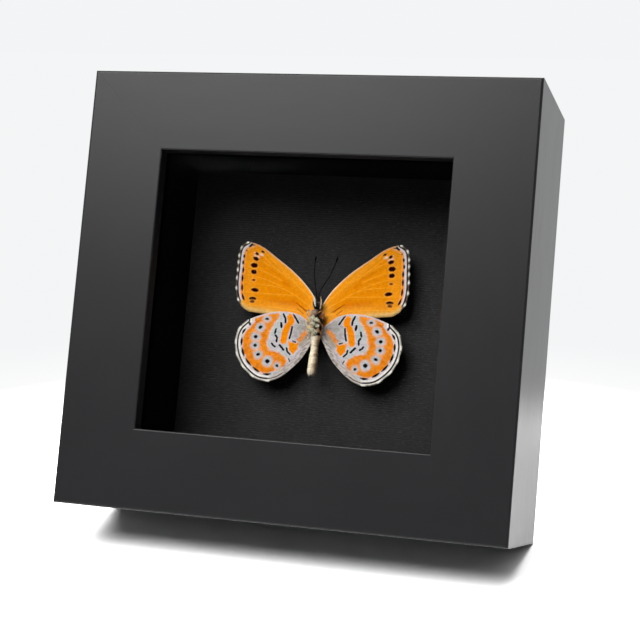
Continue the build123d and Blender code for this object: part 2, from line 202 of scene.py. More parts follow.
def painted_wood(name, across):
    """Smooth satin black paint, with a faint grain and orange peel, worn and painted-highlit arrises, dust
    and mitre lines.
    """
    made, tree = material(name, Specular_IOR_Level=0.2)
    place = case_place(tree)
    x, y, height = map(Value, node(tree, "SeparateXYZ", {0: place}).outputs)
    beyond_x, beyond_y = abs(x) - case_half[0], abs(y) - case_half[1]
    outer = larger(beyond_x, beyond_y)
    inner = abs(outer + (case_half[0] - window_half[0]))
    near_front = ramp(height, front_height - 0.7, front_height - 0.2)
    near_edge = larger(ramp(outer, -0.5, -0.15), ramp(inner, 0.4, 0.1))
    # painted highlight and wear: the paint turns lighter in patches along the front arrises, outside and
    # round the window
    wear_and_highlight = near_front * near_edge * ramp(grain(place, 0.35, 4.0), 0.55, 0.75)
    mitre = ramp(abs(beyond_x - beyond_y), 0.14, 0.05)
    stretch = (0.04, 1.0, 1.0) if across else (1.0, 0.04, 1.0)
    fibre = grain(scaled(place, *stretch), 1.6, 3.0, 0.3)
    cloudy = grain(place, 0.045, 3.0)
    dust = ramp(grain(place, 2.4, 1.0), 0.81, 0.84)
    base = blend(cloudy, srgb(17, 17, 19), srgb(24, 24, 26))
    base = blend(wear_and_highlight * 0.4, base, srgb(70, 68, 66))
    base = blend(dust * 0.3, base, srgb(100, 98, 95))
    base = blend(mitre * 0.35, base, srgb(6, 6, 6))
    gloss = ramp(fibre, 0.3, 0.7, 0.28, 0.31) + cloudy * 0.03
    relief = fibre * 0.12 + grain(place, 1.1, 2.0) * 0.25 - mitre * 0.5
    return finished(made, base, relief, 0.03, 0.5, Roughness=gloss)


def flocked_liner():
    made, tree = material("liner_black_flock", Specular_IOR_Level=0.01, Roughness=0.9)
    pile = grain(case_place(tree), 5.0, 3.0)
    return finished(made, blend(pile, srgb(2, 2, 2), srgb(7, 7, 8)), pile, 0.06, 0.7)


def ribbed_paper():
    """Black laid paper: fine ribs across, with fibres and a faint mottling."""
    made, tree = material("paper_black_laid", Specular_IOR_Level=0.01)
    place = case_place(tree)
    ribs = waves(place, 0.52, 0.5, "Y")
    fibres = grain(scaled(place, 0.35, 2.2, 1.0), 2.0, 5.0, 0.6)
    base = blend(grain(place, 0.09, 3.0), srgb(36, 36, 37), srgb(52, 51, 51))
    base = blend(ramp(fibres, 0.35, 0.8) * 0.45, base, srgb(72, 71, 70))
    base = blend(ribs * 0.15, base, srgb(26, 26, 27))
    rough = ramp(fibres, 0.2, 0.8, 0.62, 0.82)
    return finished(made, base, ribs * 0.5 + fibres, 0.05, 0.6, Roughness=rough)


def clear_glazing():
    """Low-glare acrylic: almost all light passes, and little more than the edges shine."""
    made, tree = material("glazing_low_glare")
    passed = output(tree, "BsdfTransparent", 0, {"Color": (0.985, 0.99, 0.99, 1)})
    smear = ramp(grain(case_place(tree), 0.08, 4.0, 0.8), 0.45, 0.75, 0.015, 0.06)
    shine = output(tree, "BsdfGlossy", 0, {"Color": (1, 1, 1, 1), "Roughness": smear})
    return mixed(made, output(tree, "Fresnel", 0, {"IOR": 1.03}), passed, shine)


def hardboard():
    """Dark hardboard: screen-marked faces with pressed fibres."""
    made, tree = material("board_dark_fibre", Specular_IOR_Level=0.35)
    place = case_place(tree)
    screen = waves(place, 0.33, 0.6, "X") * waves(place, 0.33, 0.6, "Y")
    fibres = grain(place, 1.1, 6.0, 1.2)
    base = blend(fibres, srgb(32, 28, 25), srgb(62, 54, 47))
    base = blend(grain(place, 0.06, 3.0) * 0.35, base, srgb(26, 24, 24))
    rough = ramp(fibres, 0.3, 0.7, 0.5, 0.72)
    return finished(made, base, screen * 0.5 + fibres, 0.08, 0.6, Roughness=rough)


def foam():
    made, tree = material("foam_black", Roughness=0.85, Specular_IOR_Level=0.2)
    bubbles = cells(case_place(tree), 2.4)
    return finished(made, blend(bubbles, srgb(14, 14, 15), srgb(44, 44, 46)), bubbles, 0.12, 0.7)


def plated_metal(name, light, dark, brushed):
    """Plated steel, brushed one way, with dull spots and fine scratches."""
    made, tree = material(name, Metallic=1.0)
    place = case_place(tree)
    streaks = grain(scaled(place, *brushed), 2.0, 5.0)
    dull = grain(place, 0.7, 4.0)
    scratch = ramp(grain(scaled(place, 3.0, 0.25, 1.0), 1.6, 3.0, 1.5), 0.6, 0.66)
    rough = ramp(streaks, 0.3, 0.7, 0.22, 0.38) + dull * 0.12
    return finished(made, blend(dull, light, dark), streaks - scratch * 0.8, 0.012, 0.7, Roughness=rough)


# -------- materials of the butterfly

def scaled_skin(name, roughness, sheen, relief):
    """Wing or body scales: the painted colour, broken up by rows of tiny scales."""
    made, tree = material(name, Roughness=roughness, Specular_IOR_Level=0.01, Sheen_Weight=sheen,
                          Sheen_Roughness=0.35)
    place = output(tree, "TexCoord", "Object")
    painted = output(tree, "Attribute", "Color", attribute_name="pattern")
    scales, tufts = grain(place, 5200.0, 2.0), grain(place, 1300.0, 4.0)
    shade = ramp(scales * 0.55 + tufts * 0.45, 0.25, 0.75, 0.8, 1.16)
    tinted = output(tree, "VectorMath", 0, {0: painted, "Scale": shade}, operation="SCALE")
    return finished(made, tinted, scales + tufts, relief, 0.6)


def eye_gloss():
    made, tree = material("eye_dark", Roughness=0.18, Coat_Weight=0.4, Coat_Roughness=0.08)
    facets = cells(output(tree, "TexCoord", "Object"), 16000.0)
    return finished(made, blend(facets, srgb(16, 9, 6), srgb(44, 26, 18)), facets, 0.01, 0.8)


# -------- mesh helpers

def unit(vectors):
    """Each row at a length of 1."""
    return vectors / np.linalg.norm(vectors, axis=1)[:, None]


def distances(points):
    """How far along a path each point is."""
    return np.concatenate([[0], np.cumsum(np.linalg.norm(np.diff(points, axis=0), axis=1))])


def outward(curve):
    """The normals of a clockwise curve."""
    return unit(np.stack([-np.gradient(curve[:, 1]), np.gradient(curve[:, 0])], 1))


def smooth_curve(points, count):
    """Evenly spaced points on the natural cubic spline through the given ones."""
    pts = np.array(points, float)
    knots = distances(pts)
    gaps = np.diff(knots)
    size = len(pts)
    system, target = np.eye(size), np.zeros_like(pts)
    for i in range(1, size - 1):
        system[i, i - 1:i + 2] = gaps[i - 1], 2 * (gaps[i - 1] + gaps[i]), gaps[i]
        target[i] = 6 * ((pts[i + 1] - pts[i]) / gaps[i] - (pts[i] - pts[i - 1]) / gaps[i - 1])
    bend = np.linalg.solve(system, target)
    at = np.linspace(0, knots[-1], 12 * count)
    i = np.clip(np.searchsorted(knots, at, side="right") - 1, 0, size - 2)
    gap = gaps[i][:, None]
    after = (at - knots[i])[:, None]
    before = gap - after
    fine = (bend[i] * before ** 3 + bend[i + 1] * after ** 3) / (6 * gap)
    fine += (pts[i] / gap - bend[i] * gap / 6) * before + (pts[i + 1] / gap - bend[i + 1] * gap / 6) * after
    run = distances(fine)
    even = np.linspace(0, run[-1], count)
    return np.stack([np.interp(even, run, fine[:, axis]) for axis in range(pts.shape[1])], 1)


def put(name, data):
    """A new object in the scene."""
    made = bpy.data.objects.new(name, data)
    bpy.context.scene.collection.objects.link(made)
    return made


def piece(name, shape, surface):
    """A mesh piece of the case, from points in the butterfly's millimetres, faces and colours."""
    points, faces, colours = shape
    mesh = bpy.data.meshes.new(name)
    mesh.from_pydata(points.tolist(), [], faces)
    mesh.transform(specimen_place)
    mesh.materials.append(surface)
    if colours is not None:
        layer = mesh.attributes.new("pattern", "FLOAT_COLOR", "POINT")
        rgba = np.concatenate([colours, np.ones((len(colours), 1))], 1)
        layer.data.foreach_set("color", rgba.astype(np.float32).ravel())
    mesh.polygons.foreach_set("use_smooth", [True] * len(mesh.polygons))
    made = put(name, mesh)
    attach(made, "case")
    return made


def ring_faces(rings, sides):
    """The faces that join rings of points, with a cap at both ends."""
    faces = []
    for start in range(0, (rings - 1) * sides, sides):
        for i in range(sides):
            beside = (i + 1) % sides
            faces.append((start + i, start + beside, start + sides + beside, start + sides + i))
    return faces + [tuple(range(sides))[::-1], tuple(range((rings - 1) * sides, rings * sides))]


def tube(path, radii, sides):
    """Points and faces of a closed tube around a path."""
    along = unit(np.gradient(path, axis=0))
    side = unit(np.cross(along, (0.0, 0.0, 1.0)))
    other = np.cross(along, side)
    turn = np.linspace(0, 2 * pi, sides, endpoint=False)[None, :, None]
    ring = side[:, None] * np.cos(turn) + other[:, None] * np.sin(turn)
    points = (path[:, None] + ring * radii[:, None, None]).reshape(-1, 3)
    return points, ring_faces(len(path), sides)


def joined(parts):
    """Several (points, faces, colours) as one."""
    points, faces, colours, start = [], [], [], 0
    for part_points, part_faces, part_colours in parts:
        points.append(part_points)
        faces += [tuple(i + start for i in face) for face in part_faces]
        colours.append(part_colours)
        start += len(part_points)
    return np.concatenate(points), faces, np.concatenate(colours)


def hairs(roots, directions, lengths, radius, tints, curl):
    """Tapered three-sided strands, each bent a little at random and closed at both ends."""
    count, corners = len(roots), 10  # three rings of three points, and a tip
    directions = unit(directions)
    side = unit(np.cross(directions, rng.normal(size=(count, 3))))
    other = np.cross(directions, side)
    bow = rng.normal(size=(count, 3)) * curl
    rings = []
    for share, width in ((0.0, 1.0), (0.45, 0.85), (0.8, 0.5)):
        centre = roots + (directions + bow * share) * (lengths * share)[:, None]
        for turn in (0, 2 * pi / 3, 4 * pi / 3):
            rings.append(centre + (side * cos(turn) + other * sin(turn)) * (radius * width))
    rings.append(roots + (directions + bow) * lengths[:, None])
    points = np.stack(rings, 1).reshape(-1, 3)
    pattern = [(2, 1, 0), (9, 6, 7), (9, 7, 8), (9, 8, 6)]
    for row in (0, 3):
        pattern += [(row + i, row + (i + 1) % 3, row + 3 + (i + 1) % 3, row + 3 + i) for i in range(3)]
    faces = [tuple(strand * corners + i for i in face) for strand in range(count) for face in pattern]
    return points, faces, np.repeat(tints, corners, axis=0)


# -------- wings

# Colours are 0-255 screen values
orange, deep_orange, light_orange = (234, 140, 6), (220, 116, 0), (253, 165, 40)
amber, burnt, honey = (237, 132, 8), (196, 96, 6), (238, 172, 70)
pearl, lilac, sage, ash = (196, 196, 198), (204, 190, 196), (178, 188, 182), (150, 142, 136)
cream, sand, rose = (244, 218, 186), (226, 184, 116), (240, 196, 158)
maroon, brown, ink, umber = (38, 3, 1), (84, 22, 3), (6, 5, 8), (26, 15, 9)
fringe_white, fringe_dim = (248, 243, 232), (112, 98, 88)

wing_outlines = {
    "forewing": (
        [(0.4, 2.9), (1.7, 5.2), (4.9, 9.1), (8.6, 12.4), (12.5, 15.2), (18.0, 18.6), (20.6, 19.2)],
        [(20.6, 19.2), (22.1, 18.2), (22.9, 15.8), (23.1, 12.0), (22.9, 5.2), (21.9, 2.8), (19.2, 0.8)],
        [(19.2, 0.8), (14.5, 0.35), (8.0, -0.4), (3.0, -2.2), (0.4, -3.4)],
    ),
    "hindwing": (
        [(0.4, -3.0), (2.5, -1.6), (4.6, 0.0), (7.2, 0.9), (10.0, 1.1), (14.5, 0.35), (19.4, -1.5)],
        [(19.4, -1.5), (21.3, -3.5), (22.2, -6.5), (21.9, -9.5), (20.6, -12.6), (18.1, -15.3),
         (15.2, -16.95), (12.4, -17.2)],
        [(12.4, -17.2), (9.7, -16.2), (7.0, -14.1), (4.3, -11.3), (2.4, -8.3), (0.5, -4.8)],
    ),
}
wing_veins = {
    "forewing": [
        [(0.6, 3.0), (5.6, 8.9), (11.4, 14.0)],
        [(0.6, 2.2), (6.0, 7.7), (10.6, 10.9), (15.5, 14.8), (19.6, 18.8)],
        [(7.0, 8.6), (14.6, 16.2)],
        [(8.6, 9.7), (17.2, 17.8)],
        [(10.6, 10.9), (16.0, 13.9), (22.4, 16.2)],
        [(10.9, 9.2), (16.5, 11.6), (23.0, 12.7)],
        [(10.8, 7.6), (16.5, 9.7), (23.1, 10.5)],
        [(0.6, 1.2), (5.6, 4.5), (9.3, 6.7), (16.0, 7.9), (23.0, 8.4)],
        [(6.8, 5.3), (15.0, 5.6), (22.7, 5.7)],
        [(0.6, 0.0), (8.0, 1.6), (15.0, 2.2), (21.6, 2.4)],
    ],
    "hindwing": [
        [(0.8, -2.9), (5.5, -0.6), (11.0, 0.0), (17.0, -0.9)],
        [(2.0, -2.8), (7.6, -1.9), (13.0, -1.9), (20.6, -3.1)],
        [(5.6, -3.9), (9.8, -4.3), (15.0, -4.4), (22.0, -5.8)],
        [(5.6, -4.6), (10.0, -6.3), (15.5, -6.9), (22.2, -8.6)],
        [(5.2, -5.6), (9.6, -7.6), (15.0, -9.2), (21.0, -11.6)],
        [(1.2, -4.0), (5.2, -5.6), (9.6, -9.2), (14.0, -11.6), (18.9, -14.6)],
        [(4.4, -5.7), (8.6, -10.6), (11.9, -12.9), (15.4, -16.8)],
        [(0.9, -4.6), (4.6, -8.8), (8.6, -13.0), (12.0, -16.4)],
    ],
}
# Forewing spots: place, half length, half width, tilt and colour
forewing_spots = [
    ((16.35, 16.62), 0.46, 0.22, 27, maroon),
    ((17.89, 16.06), 0.52, 0.3, 30, maroon),
    ((18.11, 14.72), 0.78, 0.46, 20, maroon),
    ((18.47, 12.98), 0.92, 0.6, 6, maroon),
    ((18.48, 11.27), 0.76, 0.54, 9, maroon),
    ((18.43, 9.14), 0.46, 0.25, 0, brown),
    ((17.88, 6.51), 0.98, 0.48, 8, maroon),
    ((18.33, 4.23), 0.95, 0.43, 2, maroon),
    ((18.41, 3.46), 0.64, 0.32, 0, brown),
]
# Dashes along each margin: place and half length
forewing_dashes = [
    ((19.97, 18.02), 0.32), ((20.79, 16.85), 0.4), ((21.38, 15.32), 0.54), ((21.58, 13.66), 0.56),
    ((21.41, 11.69), 0.76), ((21.47, 9.56), 0.9), ((21.4, 7.03), 0.98), ((20.95, 4.45), 1.23),
]
hindwing_marks = [
    ((20.03, -4.4), 1.2), ((20.42, -7.1), 1.3), ((19.85, -9.9), 1.45), ((18.25, -12.45), 1.55),
    ((15.9, -14.4), 1.5), ((12.7, -15.4), 1.5),
]
# Hindwing dots: place, half length, half width, tilt, and half length and half width of the ring
hindwing_dots = [
    ((13.91, -0.98), 0.44, 0.24, 0, 1.0, 0.78), ((15.56, -3.23), 0.54, 0.38, -35, 1.28, 1.08),
    ((16.68, -5.75), 0.46, 0.4, 0, 1.25, 1.1), ((16.67, -7.99), 0.42, 0.37, 0, 1.1, 1.05),
    ((15.69, -10.33), 0.49, 0.33, -20, 1.15, 1.05), ((13.04, -12.01), 0.55, 0.52, 0, 1.35, 1.3),
    ((10.4, -13.04), 0.36, 0.3, 30, 0.9, 0.85),
]
pale_ground = [
    (10.8, 0.4), (11.0, -0.65), (11.9, -1.9), (12.6, -3.1), (13.05, -4.15), (13.25, -5.2), (13.5, -6.2),
    (13.75, -7.1), (13.55, -8.0), (12.95, -8.95), (11.9, -9.35), (10.55, -9.6), (9.5, -10.15),
    (8.6, -10.75), (8.05, -11.6), (8.2, -12.85), (9.0, -13.9), (10.0, -15.0), (11.5, -17.8),
    (-3.0, -13.0), (-3.0, 4.0), (10.8, 4.0),
]
basal_band = [(7.68, -0.32), (7.39, -1.45), (8.2, -2.7), (8.79, -4.15), (8.99, -5.47), (9.11, -6.46)]
basal_patch = [(7.54, -6.91), (5.35, -7.13), (5.46, -8.3), (6.41, -9.66), (7.3, -8.69)]
basal_streak = [(2.62, -3.67), (3.75, -4.72), (4.79, -6.1)]
hindwing_dashes = [
    ([(9.54, 0.37), (8.97, -0.79), (8.89, -1.68)], 0.24), ([(6.93, 0.53), (5.42, -1.72)], 0.21),
    ([(10.05, -1.98), (9.92, -2.93)], 0.29), ([(7.05, -2.83), (7.22, -4.36), (7.56, -5.8)], 0.22),
    ([(11.34, -3.56), (11.54, -4.68)], 0.23), ([(11.34, -5.18), (10.89, -5.74), (10.99, -6.76)], 0.23),
    ([(12.18, -7.35), (11.88, -7.78), (11.3, -8.11)], 0.24), ([(10.08, -7.68), (8.95, -8.83)], 0.25),
    ([(8.13, -8.37), (7.92, -9.23), (7.15, -9.95)], 0.21), ([(7.38, -11.07), (7.05, -11.86)], 0.13),
    ([(6.6, -6.5), (5.8, -6.75)], 0.14),
]
creases = [[(6.5, 3.5), (3.2, 1.35)], [(5.7, 3.0), (3.7, 1.4)], [(6.0, 1.95), (4.4, 0.75)]]


def measured(line, x, y):
    """Distance of each point from a polyline, and how far along it the nearest place is."""
    line = np.asarray(line, float)
    nearest, along, run = np.full(x.shape, 1e9), np.zeros(x.shape), 0.0
    for start, end in zip(line[:-1], line[1:]):
        step = end - start
        length = np.hypot(*step)
        share = np.clip(((x - start[0]) * step[0] + (y - start[1]) * step[1]) / length ** 2, 0, 1)
        away = np.hypot(x - start[0] - share * step[0], y - start[1] - share * step[1])
        closer = away < nearest
        nearest = np.where(closer, away, nearest)
        along = np.where(closer, run + share * length, along)
        run += length
    return nearest, along


def from_line(line, x, y):
    return measured(line, x, y)[0]


def placed_on(line, spot):
    """One spot's distance from a polyline, and how far along it the nearest place is."""
    away, along = measured(line, *np.array(spot)[:, None])
    return away[0], along[0]


def from_area(corners, x, y):
    """Distance of each point from a closed outline, below nothing inside it."""
    corners = corners + corners[:1]
    within = np.zeros(x.shape, bool)
    for (x0, y0), (x1, y1) in zip(corners[:-1], corners[1:]):
        if y0 != y1:
            within ^= ((y0 > y) != (y1 > y)) & (x < x0 + (y - y0) * (x1 - x0) / (y1 - y0))
    away = from_line(corners, x, y)
    return np.where(within, -away, away)


def inside(distance, soft=0.07):
    """1 where a signed distance is well below nothing, and 0 well above."""
    return np.clip(0.5 - distance / (2 * soft), 0, 1)


def band(value, low, high, soft=0.05):
    return inside(low - value, soft) * inside(value - high, soft)


def oval(x, y, spot, half_length, half_width, tilt=0):
    """Rough signed distance from an ellipse."""
    c, s = cos(radians(tilt)), sin(radians(tilt))
    across = ((x - spot[0]) * c + (y - spot[1]) * s) / half_length
    along = (-(x - spot[0]) * s + (y - spot[1]) * c) / half_width
    return (np.hypot(across, along) - 1) * min(half_length, half_width)


def mottled(x, y, size, seed):
    """Soft random patches of about a size, from 0 to 1."""
    return np.array([0.5 + 0.7 * noise.noise(Vector((a, b, seed))) for a, b in zip(x / size, y / size)])


def canvas(spots, ground):
    """The same colour for every spot, and a brush for others.

    The brush lays a screen colour by an amount, inside every edge: a signed distance and its softness.
    """
    colours = np.tile(srgb(*ground), (len(spots), 1))

    def lay(amount, tint, *edges):
        share = amount * np.prod([inside(*edge) for edge in edges], axis=0)
        colours[:] += share[:, None] * (srgb(*tint) - colours)

    return colours, lay


def margin_dashes(margin, dashes, half_width, edge, run):
    """Dashes that follow the margin, each centred on its own place."""
    mask = np.zeros(edge.shape)
    for spot, half in dashes:
        depth, centre = placed_on(margin, spot)
        taper = half_width * np.clip(1.3 - np.abs(run - centre) / half, 0.5, 1)
        reach = inside(np.abs(run - centre) - half, 0.1)
        mask = np.maximum(mask, inside(np.abs(edge - depth) - taper, 0.07) * reach)
    return mask


def beads(run, margin, dashes, length):
    """1 at the middle of each cell's fringe and 0 between the cells."""
    mask = np.zeros(run.shape)
    for spot, _ in dashes:
        centre = placed_on(margin, spot)[1]
        mask = np.maximum(mask, inside(np.abs(run - centre) - length, 0.35))
    return mask


def paint_forewing(x, y, lines, edge, run, front, rear, veins):
    patches, fine = mottled(x, y, 4.5, 3.0), mottled(x, y, 0.9, 8.0)
    colours, lay = canvas(x, orange)
    lay(0.9, deep_orange, (0.45 - patches, 0.2), (1.0 - veins, 0.7), (x - 17.0, 2.5))
    lay(0.25 * fine, deep_orange)
    lay(0.5, light_orange, (veins - 0.16, 0.14), (x - 17.5, 2.0))
    lay(0.55, light_orange, (front - 2.0, 1.4), (x - 13.0, 5.0))
    lay(0.6, (250, 172, 62), (rear - 2.8, 1.4), (x - 16.0, 6.0))
    lay(0.3 * band(x, 18.0, 21.0, 0.8), light_orange)
    rolled = from_line([(22.5, 3.7), (21.9, 2.5), (20.8, 1.5)] + lines[2].tolist(), x, y)
    rolled += 1.2 * inside(x - 8.0, 5.0)
    lay(0.85, honey, (rolled - 1.45, 0.6))
    lay(0.9, sand, (rolled - 0.95, 0.45))
    # painted shade: the outermost bit of the lower edge turns brown
    lay(0.8, (150, 112, 68), (rolled - 0.34, 0.28))
    lay(0.5, honey, (np.hypot(x - 1.2, y - 1.6) - 1.9, 1.0))
    for crease in creases:
        lay(0.8, (150, 66, 6), (from_line(crease, x, y) - 0.1, 0.08))
    lay(0.8, cream, (oval(x, y, (16.7, 15.85), 0.62, 0.3, 20), 0.16))
    lay(0.9, (226, 216, 220), (oval(x, y, (17.95, 15.42), 0.78, 0.2, 20), 0.12))
    lay(0.7, cream, (oval(x, y, (18.56, 16.35), 0.25, 0.18), 0.1))
    for spot, long, wide, tilt, tint in forewing_spots:
        halo = oval(x, y, spot, long + 0.3, wide + 0.3, tilt)
        lay(0.45, (252, 172, 80), (halo, 0.16))
        shape = oval(x, y, spot, long + 0.05, wide + 0.05, tilt)
        lay(1 if tint == maroon else 0.9, tint, (shape, 0.1))
    last = placed_on(lines[1], (22.1, 3.3))[1]  # where the margin's bands end
    kept = inside(run - last, 0.5)
    lower = np.clip((13.0 - y) / 9.0, 0, 1)
    tip = inside(front - 0.95, 0.3) * inside(19.0 - x, 0.9)
    lay(0.85 * tip, (206, 190, 188))
    lay(0.5 * band(edge, 1.85, 2.15, 0.1) * kept, (250, 182, 120))
    lay(0.9 * kept * (1 - 0.3 * lower), (220, 192, 180), (edge - 1.55 + 0.25 * lower, 0.14))
    lay(0.85 * band(edge, 0.82, 1.3 - 0.2 * lower, 0.08) * kept, (222, 214, 220))
    marks = margin_dashes(lines[1], forewing_dashes, 0.27, edge, run)
    lay(marks, ink)
    lay(marks * 0.8, (70, 12, 4), (y - 9.0, 4.0))
    tail = from_line([(19.97, 18.02), (19.4, 18.32), (18.7, 18.36)], x, y)
    lay(1, (24, 16, 26), (tail - 0.15, 0.08))
    lay(0.9, rose, (front - 0.32, 0.14), (x - 14.0, 5.0))
    lay(0.7, (200, 164, 132), (front - 0.3, 0.14), (6.0 - x, 5.0))
    lay(0.7, cream, (front - 0.22, 0.12), (x - 4.0, 3.0))
    lay(1, umber, (edge - 0.8, 0.06), (run - last - 0.3, 0.5))
    bright = beads(run, lines[1], forewing_dashes, 0.4)
    lay(0.9, fringe_dim, (edge - 0.42, 0.06), (run - last - 0.6, 0.5))
    lay(bright, fringe_white, (edge - 0.44, 0.06))
    return colours


def paint_hindwing(x, y, lines, edge, run, front, rear, veins):
    patches, fine = mottled(x, y, 3.2, 5.0), mottled(x, y, 0.7, 2.0)
    colours, lay = canvas(x, pearl)
    lay(0.8, lilac, (0.5 - patches, 0.3))
    lay(0.7, sage, (patches - 0.45, 0.2), (np.abs(x - 10.5) - 2.5, 1.5))
    lay(0.75 * fine, ash, (np.hypot(x - 3.0, y + 3.6) - 4.8, 2.0))
    lay(0.45, (150, 140, 122), (np.hypot(x - 2.5, y + 3.0) - 3.6, 2.0))
    lay(0.6 * fine, (104, 92, 84), (from_line([(2.2, -2.6), (5.2, -2.9)], x, y) - 0.3, 0.5))
    lay(0.3, (150, 146, 150), (veins - 0.12, 0.1))
    ragged = 0.5 * (mottled(x, y, 0.8, 11.0) - 0.5)
    ground = from_area(pale_ground, x, y) + ragged
    deep = edge + ragged
    warm = inside(-ground, 0.3) * inside(2.2 - deep, 0.24) * inside(0.45 - front, 0.2)
    border = np.maximum(band(ground, -0.42, 0.0, 0.12), band(deep, 1.9, 2.25, 0.12) * inside(-ground, 0.2))
    lay(0.75 * border, (236, 198, 172))
    lay(warm, amber)
    lay(0.5 * warm, (222, 112, 2), (0.5 - patches, 0.2))
    lay(0.12 * warm * fine, (250, 164, 60))
    lay(0.4 * warm, (248, 160, 64), (0.46 - mottled(x, y, 1.0, 23.0), 0.14))
    lay(0.5 * warm * fine, burnt, (0.16 - np.abs(mottled(x, y, 1.5, 17.0) - 0.5), 0.1))
    lay(0.8, burnt, (oval(x, y, (16.3, -1.75), 1.2, 0.3, -24), 0.2))
    lay(0.7, honey, (np.hypot(x - 11.9, y + 13.3) - 0.35, 0.4))
    patch = from_area(basal_patch, x, y) - 0.25 + ragged
    basal = np.minimum(from_line(basal_band, x, y) - 0.85, patch)
    lay(0.75, (240, 202, 176), (basal - 0.22, 0.18))
    lay(1, amber, (basal, 0.2))
    lay(0.5 * fine, (248, 152, 20), (basal, 0.2))
    lay(0.85, (228, 132, 24), (from_line(basal_streak, x, y) - 0.62 + ragged, 0.3))
    lay(0.6, (150, 128, 72), (from_line([(3.2, -5.6), (4.7, -7.4)], x, y) - 0.4, 0.5))
    for spot, long, wide, tilt, ring_length, ring_width in hindwing_dots:
        ring = oval(x, y, spot, ring_length + 0.12, ring_width + 0.12, tilt) + 0.7 * ragged
        lay(0.45, (240, 180, 120), (ring - 0.15, 0.45))
        lay(1, (206, 184, 178), (ring, 0.34))
        lay(0.8, (198, 202, 208), (ring + 0.35, 0.22))
        lay(0.4 * fine, ash, (ring + 0.35, 0.3))
        lay(1, ink, (oval(x, y, spot, long + 0.06, wide + 0.06, tilt), 0.1))
    for line, wide in hindwing_dashes:
        away = from_line(line, x, y)
        lay(0.5, (216, 210, 212), (away - wide - 0.22, 0.15))
        lay(1, ink, (away - wide - 0.04, 0.07))
    streaks = mottled(0.8 * x - 0.6 * y, 4 * (0.6 * x + 0.8 * y), 1.2, 6.0)
    lay(0.85, (206, 192, 184), (rear - 1.3, 0.6))
    lay(0.9, (136, 126, 120), (rear - 1.7, 0.8), (0.5 - streaks, 0.2), (-15.0 - y, 2.0))
    # painted highlight: a pale pink line along the hindwing's front edge
    lay(0.8, (222, 194, 190), (front - 0.3, 0.15))
    past = run - placed_on(lines[1], (12.4, -17.2))[1]  # how far past the hind corner
    lay(0.9, (222, 204, 198), (edge - 1.95 + ragged, 0.2), (past, 0.8))
    lay(0.9 * band(edge, 0.95, 1.42, 0.08), (242, 237, 234), (past - 0.5, 0.5))
    lay(margin_dashes(lines[1], hindwing_marks, 0.29, edge, run), ink)
    lay(1, (24, 14, 34), (oval(x, y, (18.5, -2.45), 0.34, 0.5, -30), 0.08))
    lay(1, umber, (np.abs(edge - 0.73) - 0.22, 0.07), (past, 0.5))
    lay(band(past, -0.2, 4.6, 0.4), (46, 36, 38), (np.abs(edge - 0.6) - 0.12, 0.07))
    lay(1, fringe_white, (edge - 0.5, 0.06), (past - 1.0, 1.0))
    lay(1, fringe_white, (edge - 0.36, 0.08), (past - 5.0, 1.0))
    bright = beads(run, lines[1], hindwing_marks, 0.75)
    lay((1 - bright) * 0.9, fringe_dim, (edge - 0.3, 0.12))
    return colours


wing_painters = {"forewing": paint_forewing, "hindwing": paint_hindwing}
wing_cells = {"forewing": forewing_dashes, "hindwing": hindwing_marks}
bead_lengths = {"forewing": 0.4, "hindwing": 0.75}
wing_levels = {"forewing": 0.12, "hindwing": 0.46}  # middle of each wing over the wings' back
half_thickness = 0.05
wing_rows, wing_columns = 231, 171  # points along and across a wing
fringe_hairs, fringe_radius, fringe_depth = 520, 0.046, 0.38


def scalloped(margin, dashes):
    """A margin drawn in a little between its cells."""
    run = distances(margin)
    depth = 0.38 * (1 - beads(run, margin, dashes, 0.7)) * beads(run, margin, dashes, 1.6)
    return margin - outward(margin) * depth[:, None]


def wing_net(lines, dashes):
    """A grid of points over a wing: rows from root to margin, columns from costa to inner edge."""
    costa = smooth_curve(lines[0], wing_rows)
    margin = scalloped(smooth_curve(lines[1], wing_columns), dashes)
    inner = smooth_curve(lines[2], wing_rows)[::-1]
    u = np.linspace(0, 1, wing_columns)[None, :, None]
    v = np.linspace(0, 1, wing_rows)[:, None, None]
    sides = costa[:, None] * (1 - u) + inner[:, None] * u
    ends = sides[:1] * (1 - v) + margin[None] * v
    corners = sides[:1] * (1 - v) + sides[-1:] * v
    return (sides + ends - corners).reshape(-1, 2)


def wing_relief(wing, x, y, edge, veins, chord):
    """Height over the wing's own level: vein ridges, pleats between them and a slight camber."""
    ridges = 0.035 * np.exp(-(veins / 0.09) ** 2)
    pleats = 0.05 * np.clip(veins / 1.1, 0, 1)
    reach = np.hypot(x, y) / 25
    camber = 0.32 * reach ** 2 - 0.1 * np.sin(2.6 * reach + (0.6 if wing == "forewing" else 1.9))
    ripple = 0.03 * np.sin(1.1 * x + 0.9 * y) * reach
    thin = 0.03 * inside(edge - 0.5, 0.2)
    return ridges - pleats + camber + ripple - thin + 0.05 * chord


def fringe(wing, side, lines, heights):
    """The fringe of long scales that stands out from a wing's margin."""
    curve = smooth_curve(lines[1], fringe_hairs)
    away = outward(curve)
    run = np.linspace(0, distances(curve)[-1], fringe_hairs)
    bright = beads(run, curve, wing_cells[wing], bead_lengths[wing])
    white, dim = srgb(*fringe_white), srgb(*fringe_dim)
    tints = bright[:, None] * white + (1 - bright)[:, None] * dim
    if wing == "hindwing":
        tints = 0.35 * tints + 0.65 * white
    tints = tints * rng.uniform(0.8, 1.05, (fringe_hairs, 1))
    lifted = heights + rng.uniform(-0.03, 0.05, fringe_hairs)
    roots = np.column_stack([curve - away * fringe_depth, lifted])
    aim = np.column_stack([away, rng.uniform(-0.12, 0.12, fringe_hairs)])
    aim[:, :2] += rng.normal(0, 0.1, (fringe_hairs, 2))
    lengths = (0.4 + 0.16 * bright) * rng.uniform(0.85, 1.1, fringe_hairs)
    mirror = (side, 1, 1)
    return hairs(roots * mirror, aim * mirror, lengths, fringe_radius, tints, 0.1)


